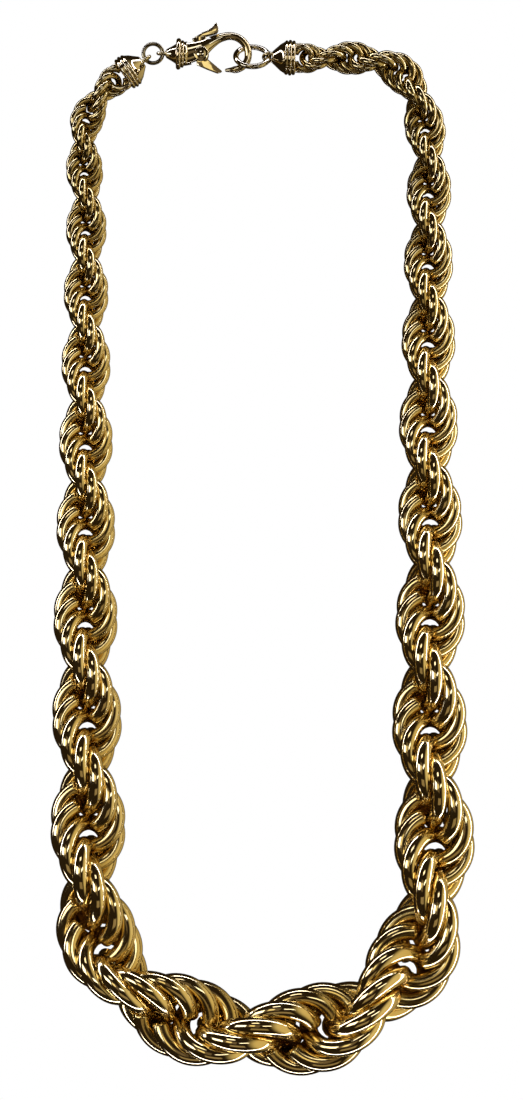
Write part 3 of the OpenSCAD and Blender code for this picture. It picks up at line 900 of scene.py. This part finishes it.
HORIZON_HALF = 0.06  # height of the bright horizon above and below, as a sine
HORIZON_COLOUR = (0.92, 0.95, 1.2)
DARK_SIDE = (-0.94, -0.34, 0.0)  # the way to the dark side of the room
DARK_EDGES = (0.97, 0.88)  # cosines of the angle from there between which the light grows to full
BELOW_EDGES = (0.0, -0.05)  # height of a ray, as a sine, where the light from below begins and is full
SIDE_EDGES = (0.42, 0.82)  # share of +X in a ray where the warm side begins and is full
NEAR_EDGES = (0.25, 0.8)  # the same for the warm light from below
PICTURE_MIDDLE = Vector((-0.227, -0.313, 0))  # of the photo's frame, in millimetres
PICTURE_LEVEL = 6.0  # height above the floor in millimetres where view_height is measured
SENSOR = 36.0  # longer side of the camera's sensor in millimetres
FLOOR_HALF = 900.0  # half of the floor's side in millimetres
# name, place and size in metres, and colour times brightness of each soft lamp
LAMPS = (("lamp_left", (-0.6, 0.05, 0.55), (0.26, 0.42), (3, 3, 3)),
         ("lamp_right", (0.3, 0.1, 0.75), (0.1, 0.36), (2.4, 2.4, 2.4)),
         ("lamp_far", (-0.1, 0.5, 0.6), (0.26, 0.15), (2, 1.9, 1.8)),
         ("warm_card", (-0.2, 0.05, 0.8), (0.45, 0.5), (0.12, 0.09, 0.055)),
         ("near_card", (0.0, -0.48, 0.62), (0.5, 0.26), (0.27, 0.21, 0.115)),
         ("gate_card", (-0.24, 0.06, 0.79), (0.2, 0.2), (1.1, 0.95, 0.52)))


def light_table(stage):
    """A table of pale light, which the gold does not mirror."""
    mat = blank_material("light_table")
    tree = mat.node_tree
    white = (stage.white, stage.white, stage.white, 1)
    shader = node(tree, "ShaderNodeEmission", {"Color": white, "Strength": 1.0})
    node(tree, "ShaderNodeOutputMaterial", {"Surface": shader.outputs["Emission"]})
    return mat


def open_side(tree, ray):
    """0 for what lies towards the dark side of the room, and 1 elsewhere."""
    level = node(tree, "ShaderNodeVectorMath", {0: ray, 1: (1, 1, 0)}, operation="MULTIPLY").outputs[0]
    level = node(tree, "ShaderNodeVectorMath", {0: level}, operation="NORMALIZE").outputs[0]
    toward = node(tree, "ShaderNodeVectorMath", {0: level, 1: DARK_SIDE}, operation="DOT_PRODUCT")
    return value_range(tree, toward.outputs["Value"], *DARK_EDGES)


def room_light(stage):
    """A dark room with a thin bright horizon and a warm right-hand side, behind a white backdrop."""
    world = bpy.data.worlds.new("room")
    bpy.context.scene.world = world
    world.use_nodes = True
    tree = world.node_tree
    tree.nodes.clear()
    ray = node(tree, "ShaderNodeTexCoord").outputs["Generated"]
    part = node(tree, "ShaderNodeSeparateXYZ", {"Vector": ray}).outputs
    height = maths(tree, "ABSOLUTE", part["Z"])
    horizon = value_range(tree, height, HORIZON_HALF, 0.0, (0.0, stage.horizon_glow))
    below = value_range(tree, part["Z"], *BELOW_EDGES)
    above = maths(tree, "SUBTRACT", 1.0, below)
    side = value_range(tree, part["X"], *SIDE_EDGES)
    near = value_range(tree, part["X"], *NEAR_EDGES)
    bright = stage.ceiling_colour
    for colour, strength, mask in ((HORIZON_COLOUR, horizon, open_side(tree, ray)),
                                   (stage.side_colour, side, above),
                                   (stage.near_colour, near, below)):
        lit = times(tree, colour, maths(tree, "MULTIPLY", strength, mask))
        bright = node(tree, "ShaderNodeVectorMath", {0: lit, 1: bright}, operation="ADD").outputs[0]
    room = node(tree, "ShaderNodeBackground", {"Color": bright, "Strength": 1.0})
    backdrop = node(tree, "ShaderNodeBackground", {"Color": (1, 1, 1, 1), "Strength": stage.white})
    seen = node(tree, "ShaderNodeLightPath").outputs["Is Camera Ray"]
    mixed = node(tree, "ShaderNodeMixShader", {0: seen, 1: room.outputs[0], 2: backdrop.outputs[0]})
    node(tree, "ShaderNodeOutputWorld", {"Surface": mixed.outputs["Shader"]})


def soft_lamp(name, at, size, light, glow):
    """A rectangular lamp that faces the middle of the necklace."""
    data = bpy.data.lights.new(name, "AREA")
    data.shape = "RECTANGLE"
    data.size, data.size_y = size
    data.energy = glow * math.pi * size[0] * size[1]
    data.color = light
    lamp = bpy.data.objects.new(name, data)
    lamp.location = at
    lamp.rotation_euler = (-Vector(at)).to_track_quat("-Z", "Y").to_euler()
    bpy.context.scene.collection.objects.link(lamp)


def add_camera(stage):
    """The camera straight above the middle of the picture."""
    data = bpy.data.cameras.new("camera")
    data.lens, data.sensor_width = stage.lens, SENSOR
    data.clip_start, data.clip_end = 0.01, 10.0
    camera = bpy.data.objects.new("camera", data)
    height = stage.view_height * stage.lens / SENSOR + PICTURE_LEVEL * MM
    camera.location = PICTURE_MIDDLE * MM + Vector((0, 0, height))
    bpy.context.scene.collection.objects.link(camera)
    bpy.context.scene.camera = camera


class SetStage(bpy.types.Operator):
    """Sets the floor, the lights and the camera"""

    bl_idname = "necklace.set_stage"
    bl_label = "Set Stage"

    def execute(self, context):
        stage = context.scene.necklace_stage
        bm = bmesh.new()
        bmesh.ops.create_grid(bm, x_segments=1, y_segments=1, size=FLOOR_HALF)
        floor = shell("floor", bm, outward=False)
        floor.data.materials.append(light_table(stage))
        floor.visible_glossy = False
        room_light(stage)
        for name, at, size, light in LAMPS:
            soft_lamp(name, at, size, light, stage.lamp_glow)
        add_camera(stage)
        context.scene.view_settings.view_transform = "Standard"
        return {"FINISHED"}


class NecklacePanel(bpy.types.Panel):
    """Sizes, colours and pieces of the necklace"""

    bl_idname = "VIEW3D_PT_necklace"
    bl_label = "Necklace"
    bl_space_type = "VIEW_3D"
    bl_region_type = "UI"
    bl_category = "Necklace"

    def draw(self, context):
        for group in ("necklace_rope", "necklace_clasp", "necklace_finish", "necklace_stage"):
            box = self.layout.box()
            holder = getattr(context.scene, group)
            for key in holder.__annotations__:
                box.prop(holder, key)
        for operator in OPERATORS:
            self.layout.operator(operator.bl_idname)


GROUPS = (RopeSizes, ClaspSizes, GoldFinish, StageSetup)
OPERATORS = (SetStage, MakeRope, MakeEndCaps, MakeRings, MakeClaw, MakeLever, MakeRivet)


def register():
    """Adds the classes, and the groups of sizes and colours to the scene."""
    for cls in GROUPS + OPERATORS + (NecklacePanel,):
        bpy.utils.register_class(cls)
    bpy.types.Scene.necklace_rope = PointerProperty(type=RopeSizes)
    bpy.types.Scene.necklace_clasp = PointerProperty(type=ClaspSizes)
    bpy.types.Scene.necklace_finish = PointerProperty(type=GoldFinish)
    bpy.types.Scene.necklace_stage = PointerProperty(type=StageSetup)


def unregister():
    """Takes away what register adds."""
    for name in ("necklace_stage", "necklace_finish", "necklace_clasp", "necklace_rope"):
        delattr(bpy.types.Scene, name)
    for cls in reversed(GROUPS + OPERATORS + (NecklacePanel,)):
        bpy.utils.unregister_class(cls)


def main():
    """Builds every piece and the stage."""
    register()
    bpy.ops.necklace.set_stage()
    bpy.ops.necklace.make_rope()
    bpy.ops.necklace.make_end_caps()
    bpy.ops.necklace.make_rings()
    bpy.ops.necklace.make_claw()
    bpy.ops.necklace.make_lever()
    bpy.ops.necklace.make_rivet()


if __name__ == "__main__":
    main()
